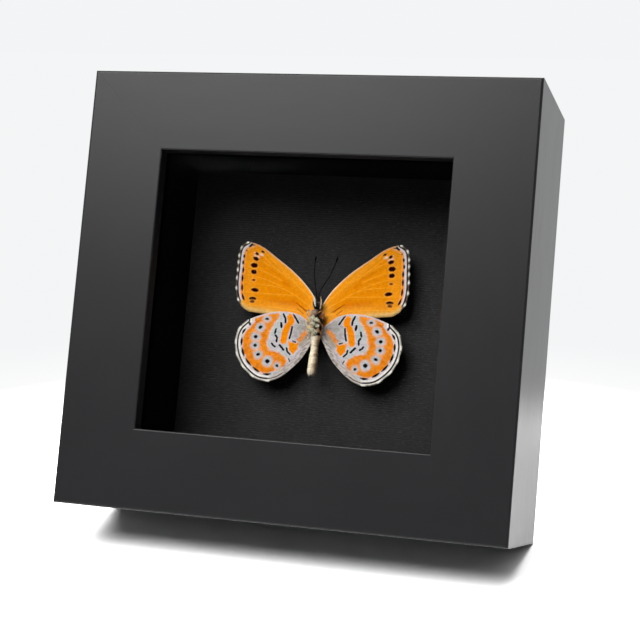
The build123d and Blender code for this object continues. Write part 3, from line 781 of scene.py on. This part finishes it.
def sheet_faces(columns, rows):
    """The faces of a thin sheet whose two sides are grids of points, one after the other."""
    grid = np.arange(columns * rows).reshape(rows, columns)
    upper = np.stack([grid[:-1, :-1], grid[:-1, 1:], grid[1:, 1:], grid[1:, :-1]], -1).reshape(-1, 4)
    rim = np.concatenate([grid[0], grid[1:, -1], grid[-1, -2::-1], grid[-2:0:-1, 0]])
    ahead = np.roll(rim, -1)
    walls = np.stack([rim + grid.size, ahead + grid.size, ahead, rim], 1)
    return np.concatenate([upper, upper[:, ::-1] + grid.size, walls])


def make_wing(wing, side, surface):
    hand = "left" if side < 0 else "right"
    lines = wing_outlines[wing]
    net = wing_net(lines, wing_cells[wing])
    x, y = (net + 0.045 * np.sin(net[:, ::-1] * 7.3 + np.array([1.1, 2.7])) * np.sin(net * 4.1)).T
    curves = [smooth_curve(line, 90) for line in lines]
    curves[1] = np.concatenate([curves[1], curves[2][1:24]])  # the margin goes on round the inner corner
    edge, run = measured(curves[1], *net.T)
    front, rear = from_line(curves[0], x, y), from_line(curves[2], x, y)
    veins = np.minimum.reduce([from_line(smooth_curve(vein, 14), x, y) for vein in wing_veins[wing]])
    colours = wing_painters[wing](x, y, curves, edge, run, front, rear, veins)
    chord = np.tile(np.linspace(-1, 1, wing_columns), wing_rows)
    level = wing_levels[wing] + wing_relief(wing, *net.T, edge, veins, chord)
    lifts = (half_thickness, -half_thickness)
    points = [np.column_stack([net * (side, 1), level + lift]) for lift in lifts]
    faces = sheet_faces(wing_columns, wing_rows)
    if side > 0:
        faces = faces[:, ::-1]
    # painted shade: the back sheet, towards the paper, gets the wing's pattern at 0.8 of its brightness
    shape = (np.concatenate(points), faces.tolist(), np.concatenate([colours, colours * 0.8]))
    made = piece(f"wing_{wing}_{hand}", shape, surface)
    flat_map(made, np.concatenate([net, net + [26.0, 0.0]]))
    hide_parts(f"{wing}_{'left' if side < 0 else 'right'}")
    at, grid = np.linspace(0, 1, fringe_hairs), np.linspace(0, 1, wing_columns)
    heights = np.interp(at, grid, level[-wing_columns:])
    piece(f"fringe_{wing}_{hand}", fringe(wing, side, lines, heights), surface)


def flat_map(made, spots):
    """Lays a piece out flat for its baked colours, in one map."""
    spots = (spots - spots.min(0)) / (spots.max(0) - spots.min(0)).max() * 0.98 + 0.01
    layer = made.data.uv_layers.new(name="OFBake")
    corners = np.empty(len(made.data.loops), int)
    made.data.loops.foreach_get("vertex_index", corners)
    layer.data.foreach_set("uv", spots[corners].astype(np.float32).ravel())


# -------- body

thorax_radius = 1.72
milk, straw, tan = (255, 249, 222), (253, 228, 172), (226, 188, 150)
# Tufts over the thorax: place, length, tilt and colour
thorax_tufts = [
    (-1.9, -0.9, 1.1, 60, straw), (-1.25, 0.9, 0.9, 80, tan), (-1.0, -0.1, 0.7, 20, milk),
    (0.1, -0.6, 0.8, -30, milk), (-0.6, -1.6, 0.9, -20, milk), (0.35, -2.1, 0.6, -50, milk),
    (-1.5, -2.5, 1.0, 20, straw), (-0.9, -3.2, 0.8, -15, milk), (-1.6, -3.7, 0.7, 10, milk),
    (0.35, -3.5, 0.6, 60, tan), (-0.5, -4.2, 0.8, 40, milk), (1.2, 0.6, 0.8, 80, (206, 132, 76)),
]
tuft_hairs = 80
abdomen_smudges = [(0.2, -7.6), (0.45, -9.9), (0.1, -12.3), (0.5, -12.9)]
segment_length = 1.42
# The two palps in front of the head: path, half width and colour
palps = [
    ([(-0.62, 2.5, 2.25), (-0.85, 3.7, 2.35), (-1.2, 5.0, 2.1)], 0.24, srgb(255, 246, 232)),
    # painted shade: the right palp is a darker, greyer copy of the left palp's colour
    ([(0.62, 1.8, 2.2), (0.82, 3.4, 2.25), (0.6, 4.9, 2.1)], 0.13, srgb(226, 200, 168)),
]
# Paths from the middle of the head's front, and from the neck
antenna_paths = [
    [(-0.35, 0.1), (-1.15, 5.4), (-1.0, 10.55)],
    [(0.35, 0.1), (2.45, 4.6), (4.85, 10.5)],
]
leg_paths = [
    [(0.5, -1.3), (2.0, -0.5), (2.4, -2.9)],
    [(0.6, -3.1), (2.2, -3.9), (2.3, -6.1)],
    [(0.5, -4.8), (1.9, -5.8), (1.7, -8.1)],
]
# painted shade: the right legs, away from the light, are a darker, browner copy of the left legs' colour
leg_tints = {-1: srgb(232, 206, 178), 1: srgb(178, 132, 92)}


def revolved(profile, rings, sides, rough):
    """A closed body about its own axis from (along, radius) points, with an uneven skin."""
    turn = np.linspace(0, 2 * pi, sides, endpoint=False)
    points = []
    for along, radius in smooth_curve(profile, rings):
        for angle in turn:
            spot = Vector((radius * cos(angle), along, radius * sin(angle)))
            swell = 1 + rough * noise.noise(spot * 2.2) + rough * 0.5 * noise.noise(spot * 6.0)
            points.append((spot.x * swell, along, spot.z * swell))
    return np.array(points) + (body_shift, 0, body_rise), ring_faces(rings, sides)


def fur(points, count, length, radius, comb, tints, curl):
    """Hairs rooted on a body's skin, combed one way."""
    roots = points[rng.integers(0, len(points), count)] + rng.normal(0, 0.05, (count, 3))
    facing = (roots - (body_shift, 0, body_rise)) * (1, 0, 1)
    facing /= np.maximum(np.linalg.norm(facing, axis=1), 0.05)[:, None]
    aim = facing + np.array(comb) + rng.normal(0, 0.25, (count, 3))
    lengths = length * rng.uniform(0.5, 1.15, count)
    return hairs(roots, aim, lengths, radius, tints(roots, facing), curl)


def limb(path, radii, tints, sides=10):
    """A tube with its own colour for each ring."""
    return *tube(path, radii, sides), np.repeat(tints, sides, axis=0)


def bristles(points, count, spread, lean, tint, shades, lengths, radius):
    """Short straight hairs rooted all over a limb."""
    roots = points[rng.integers(0, len(points), count)]
    aim = rng.normal(0, spread, (count, 3)) + lean
    tints = tint * rng.uniform(*shades, (count, 1))
    return hairs(roots, aim, rng.uniform(*lengths, count), radius, tints, 0.2)


def thorax_tints(roots, facing):
    """Tan on its left, dark in the middle, and reddish by the right wing's root."""
    x, y = roots[:, 0], roots[:, 1]
    tints, lay = canvas(x, (34, 22, 16))
    lay(1, (218, 190, 166), (x + 0.75, 0.4))
    lay(0.8, (206, 150, 108), (0.85 - x, 0.25), (0.0 - y, 0.6))
    lay(0.8, (206, 172, 150), (np.hypot(x + 0.5, y - 1.0) - 0.5, 0.4))
    clump = np.sin(x * 4.1 + 1.0) * np.sin(y * 3.6 + 0.5) + rng.normal(0, 0.3, len(x))
    lay(0.35 * (clump < -0.4), (70, 44, 32))
    ragged = 0.7 * (mottled(x, y, 0.35, 4.0) - 0.5)
    for tuft_x, tuft_y, length, tilt, tint in thorax_tufts:
        shape = oval(x, y, (tuft_x - 0.1, tuft_y - 0.3), 0.62 * length, 0.34, tilt)
        lay(1, tint, (shape + ragged, 0.12))
    return tints * rng.uniform(0.85, 1.04, (len(x), 1))


def abdomen_tints(roots, facing):
    """Cream on its left and front, brown on its back, and brown down its right side, partly its own colour
    and partly painted shade, with a few smudges.
    """
    x = roots[:, 0] - abdomen_middle(roots[:, 1])
    y = roots[:, 1]
    wander = 0.12 * np.sin(y * 2.1) + 0.08 * np.sin(y * 5.3 + 1.0)
    tints, lay = canvas(x, (255, 242, 214))
    # painted shade, partly the flank's own brown: browner and darker down the right side, away from the
    # light
    lay(0.8, (196, 164, 128), (0.32 + wander - x, 0.35))
    lay(0.9, (120, 98, 76), (0.85 + wander - x, 0.3))
    lay(0.7, (110, 92, 70), (facing[:, 2] + 0.2, 0.3))
    for spot in abdomen_smudges:
        lay(0.55, (120, 92, 62), (np.hypot(x - spot[0], (y - spot[1]) * 1.6) - 0.22, 0.25))
    lay(0.5, (140, 112, 78), (np.abs(x + 0.05) - 0.06, 0.08), (y + 12.9, 0.5))
    return tints * rng.uniform(0.9, 1.04, (len(x), 1))


def head_tints(roots, facing):
    tints, lay = canvas(roots, (30, 22, 18))
    lay(0.8, (190, 182, 168), (roots[:, 0] + 1.1, 0.25))
    return tints * rng.uniform(0.7, 1.2, (len(roots), 1))


def tufts():
    """The shaggy tufts of cream scales over the thorax, combed down and to the left."""
    parts = []
    for x, y, length, tilt, tint in thorax_tufts:
        along = rng.normal(0, 0.3, tuft_hairs)
        spread = np.stack([along * cos(radians(tilt)), along * sin(radians(tilt)), np.zeros(tuft_hairs)], 1)
        spread += rng.normal(0, 0.1, (tuft_hairs, 3))
        above = np.sqrt(np.clip(thorax_radius ** 2 - (x - body_shift) ** 2, 0.2, 3))
        roots = np.array((x, y, body_rise + above - 0.15)) + spread
        aim = rng.normal(0, 0.22, (tuft_hairs, 3)) + (0.5 * (x - body_shift) - 0.35, -0.85, 0.14)
        tints = srgb(*tint) * rng.uniform(0.88, 1.0, (tuft_hairs, 1))
        parts.append(hairs(roots, aim, length * rng.uniform(0.5, 1.1, tuft_hairs), 0.05, tints, 0.22))
    return joined(parts)


def make_thorax(skin):
    profile = [(neck, 0.25), (neck - 0.15, 0.8), (0.6, 1.5), (-1.2, thorax_radius), (-3.2, 1.45),
               (waist, 0.95)]
    points, faces = revolved(profile, 44, 48, 0.1)
    made = piece("body_thorax", (points, faces, thorax_tints(points, points)), skin)
    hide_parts("thorax")
    coat = fur(points[points[:, 2] > 0.2], 1300, 0.6, 0.04, (-0.2, -0.9, 0.1), thorax_tints, 0.35)
    piece("body_thorax_fur", coat, skin)
    piece("body_thorax_tufts", tufts(), skin)


def abdomen_middle(y):
    """The abdomen hangs a little to the left, towards its tip."""
    return body_shift + 0.24 - 0.052 * (waist - y)


def make_abdomen(skin):
    profile = [(waist + 0.25, 0.5), (waist, 0.86), (-7.0, 0.95), (-10.0, 1.06), (-12.6, 1.17),
               (-14.2, 1.14), (-14.9, 0.85), (abdomen_tip, 0.3)]
    points, faces = revolved(profile, 110, 48, 0.03)
    along = (waist - points[:, 1]) / segment_length
    fold = 1 - 0.075 * np.exp(-((along - np.round(along)) / 0.1) ** 2) + 0.02 * np.sin(2 * pi * along)
    points[:, 0] = abdomen_middle(points[:, 1]) + (points[:, 0] - body_shift) * fold
    points[:, 2] = body_rise + (points[:, 2] - body_rise) * fold
    facing = (points - (0, 0, body_rise)) * (1, 0, 1)
    facing[:, 0] -= abdomen_middle(points[:, 1])
    facing = unit(facing)
    # painted shade: the colour darkens in the folds between segments
    tints = abdomen_tints(points, facing) * (0.78 + 0.22 * fold[:, None] ** 6)
    made = piece("body_abdomen", (points, faces, tints), skin)
    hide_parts("abdomen")
    coat = fur(points, 800, 0.4, 0.03, (0, -3.2, 0), abdomen_tints, 0.1)
    piece("body_abdomen_scales", coat, skin)


def eye(side):
    """A closed ellipsoid at a side of the head, whose colour is its material's own."""
    turn = np.linspace(0.06, pi - 0.06, 16)
    path = np.outer(-np.cos(turn) * 0.78, (0, 1, 0))
    points, faces = tube(path, np.sin(turn), 24)
    points = points * (0.48, 1, 0.62) + (body_shift + side * 0.62, 3.5, body_rise + 0.15)
    return points, faces, np.zeros(points.shape)


def make_head(skin, eyes):
    profile = [(neck - 0.1, 0.35), (neck + 0.35, 0.72), (3.4, 0.92), (4.5, 0.7), (4.95, 0.2)]
    points, faces = revolved(profile, 30, 40, 0.1)
    dark = np.tile(srgb(34, 28, 24), (len(points), 1))
    made = piece("body_head", (points, faces, dark), skin)
    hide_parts("head")
    piece("body_eyes", (*joined([eye(-1), eye(1)])[:2], None), eyes)
    parts = []
    for spots, width, tint in palps:
        radii = width * np.sin(np.linspace(0.35, pi - 0.12, 24)) + 0.03
        parts.append(limb(smooth_curve(spots, 24), radii, np.tile(tint, (24, 1)), 12))
        parts.append(bristles(parts[-1][0], 160, 0.3, (0, 0.9, 0.3), tint, (0.75, 1.05), (0.2, 0.45), 0.02))
    piece("body_palps", joined(parts), skin)
    coat = fur(points, 520, 0.42, 0.018, (0, 0.35, 0.2), head_tints, 0.3)
    piece("body_head_fur", coat, skin)


def make_antennae(skin):
    parts, rings = [], 120
    share = np.linspace(0, 1, rings)
    club = np.exp(-((share - 0.945) / 0.042) ** 2)
    ringed = 0.5 + 0.5 * np.cos(share * 2 * pi * 26)
    radii = 0.1 + 0.012 * ringed + 0.13 * club
    radii[-1] = 0.04
    tints = np.outer(1 - ringed ** 6 * (1 - club), srgb(5, 4, 4))
    tints += np.outer(ringed ** 6 * (1 - club), srgb(26, 22, 20))
    for path in antenna_paths:
        spots = [(body_shift + x, head_front + y, body_rise + 0.02 * y) for x, y in path]
        root = (spots[0][0], spots[0][1] - 0.5, body_rise)
        parts.append(limb(smooth_curve([root] + spots, rings), radii, tints))
    made = piece("body_antennae", joined(parts), skin)
    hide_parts("antennae")


def make_legs(skin):
    parts, rings = [], 60
    share = np.linspace(0, 1, rings)
    radii = 0.17 - 0.09 * share + 0.02 * np.cos(share * 2 * pi * 7)
    pale = 0.6 + 0.4 * np.cos(share * 2 * pi * 3.5)
    for side in (-1, 1):
        tints = np.outer(pale, leg_tints[side]) + np.outer(1 - pale, srgb(84, 58, 40))
        for path in leg_paths:
            spots = [(body_shift + side * 0.84 * x, neck + y, body_rise + 1.15) for x, y in path]
            root = (body_shift + side * path[0][0] * 0.5, neck + path[0][1], body_rise + 0.9)
            curve = smooth_curve([root] + spots, rings)
            parts.append(limb(curve, radii, tints))
            ahead, tint = (curve[-1] - curve[-8]) * 3, leg_tints[side]
            parts.append(bristles(parts[-1][0], 110, 0.6, ahead, tint, (0.5, 1.0), (0.15, 0.4), 0.013))
    made = piece("body_legs", joined(parts), skin)
    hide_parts("legs")


# -------- dress the case

def dress(nodes, surface):
    """Gives CAD nodes a finished material."""
    for name in nodes:
        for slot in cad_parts[name].material_slots:
            slot.material = surface


dress(["top_rail", "bottom_rail"], painted_wood("frame_paint_across", True))
dress(["left_rail", "right_rail"], painted_wood("frame_paint_upright", False))
dress(["liner_top", "liner_bottom", "liner_left", "liner_right"], flocked_liner())
dress(["backing_paper"], ribbed_paper())
dress(["glazing"], clear_glazing())
dress(["rear_panel", "easel_strut"], hardboard())
dress(["backing_board", "specimen_block"], foam())
nickel = plated_metal("plated_nickel", srgb(206, 202, 192), srgb(168, 162, 150), (0.4, 6.0, 6.0))
zinc = plated_metal("plated_zinc", srgb(196, 199, 204), srgb(150, 154, 160), (6.0, 0.5, 6.0))
dress(["turn_button_upper_left", "turn_button_upper_right", "turn_button_lower_left",
       "turn_button_lower_right"], nickel)
dress(["turn_button_screws", "hinge_base_leaf", "hinge_strut_leaf", "hinge_pin", "panel_rivets",
       "strut_rivets", "sawtooth_hanger", "hanger_nails", "corner_v_nails"], zinc)

wing_skin = scaled_skin("wing_scales", 0.62, 0.0, 0.02)
body_skin = scaled_skin("body_scales", 0.75, 0.06, 0.03)
for wing in wing_outlines:
    for side in (-1, 1):
        make_wing(wing, side, wing_skin)
make_thorax(body_skin)
make_abdomen(body_skin)
make_head(body_skin, eye_gloss())
make_antennae(wing_skin)
make_legs(body_skin)


# -------- floor, light and camera

backdrop_seen = srgb(243, 244, 246)
floor_half = 3.0  # metres
floor_shade, floor_far_shade = (0.45,) * 3, (0.2,) * 3  # what scattered light meets
floor_seen, floor_far_seen = (2.2,) * 3, srgb(244, 245, 246)
near_reach, pale_reach = (0.12, 0.18), (0.13, 0.25)  # metres from the case over which the floor turns
photo_width = 640


def directly_seen(tree):
    """1 for what the eye, a reflection or a look through glass meets, and 0 for scattered light."""
    path = node(tree, "LightPath").outputs
    seen = larger(Value(path["Is Camera Ray"]), Value(path["Is Glossy Ray"]))
    return larger(seen, Value(path["Is Transmission Ray"]))


def make_floor():
    """White close to the case, and pale grey further out."""
    mesh = bpy.data.meshes.new("floor")
    corners = [(-1, -1), (1, -1), (1, 1), (-1, 1)]
    mesh.from_pydata([(x * floor_half, y * floor_half, 0) for x, y in corners], [], [(0, 1, 2, 3)])
    made, tree = material("floor_pale")
    place = output(tree, "TexCoord", "Object")
    reach = output(tree, "VectorMath", "Value", {0: place}, operation="LENGTH")
    seen = directly_seen(tree)
    near = output(tree, "BsdfDiffuse", 0, {"Color": blend(seen, floor_shade, floor_seen)})
    pale = blend(ramp(reach, *pale_reach), (1.0, 1.0, 1.0), floor_far_seen)
    far = output(tree, "Emission", 0, {"Color": blend(seen, floor_far_shade, pale)})
    mesh.materials.append(mixed(made, ramp(reach, *near_reach), near, far))
    floor = put("floor", mesh)


def make_world():
    """A pale backdrop to the eye, and a light that is brighter behind the case than in front."""
    world = bpy.data.worlds.new("studio")
    bpy.context.scene.world = world
    world.use_nodes = True
    tree = world.node_tree
    way = output(tree, "TexCoord", "Generated")
    back, above = map(Value, node(tree, "SeparateXYZ", {0: way}).outputs[1:])
    level = ramp(back, -0.1, 0.6, 0.01, 0.36) + ramp(above, 0.2, 0.9, 0.0, 0.18)
    backdrop = blend(directly_seen(tree), level, backdrop_seen)
    tree.links.new(backdrop.socket, tree.nodes["Background"].inputs["Color"])


def make_lamp(name, place, aim, size, watts):
    light = bpy.data.lights.new(name, "AREA")
    light.shape, light.size, light.energy = "DISK", size, watts
    lamp = put(name, light)
    lamp.location = place
    lamp.rotation_euler = (Vector(aim) - Vector(place)).to_track_quat("-Z", "Y").to_euler()
    lamp.visible_camera = False


def make_camera():
    data = bpy.data.cameras.new("camera")
    camera = put("camera", data)
    azimuth, elevation = 17.206, 11.828
    camera.location = (0.1095, -0.38863, 0.13876)
    camera.rotation_euler = (radians(90 - elevation), 0, radians(azimuth))
    data.sensor_width, data.lens = 36.0, 87.965
    data.shift_x = 35 / photo_width
    data.clip_start = 0.01
    bpy.context.scene.camera = camera


make_floor()
make_world()
make_lamp("key", (-0.32, -0.62, 0.82), (0, 0, 0.05), 0.76, 14)
make_lamp("rim", (0.1, 0.45, 0.8), (0, 0, 0.03), 0.6, 5)
make_camera()
bpy.context.scene.view_settings.view_transform = "Standard"
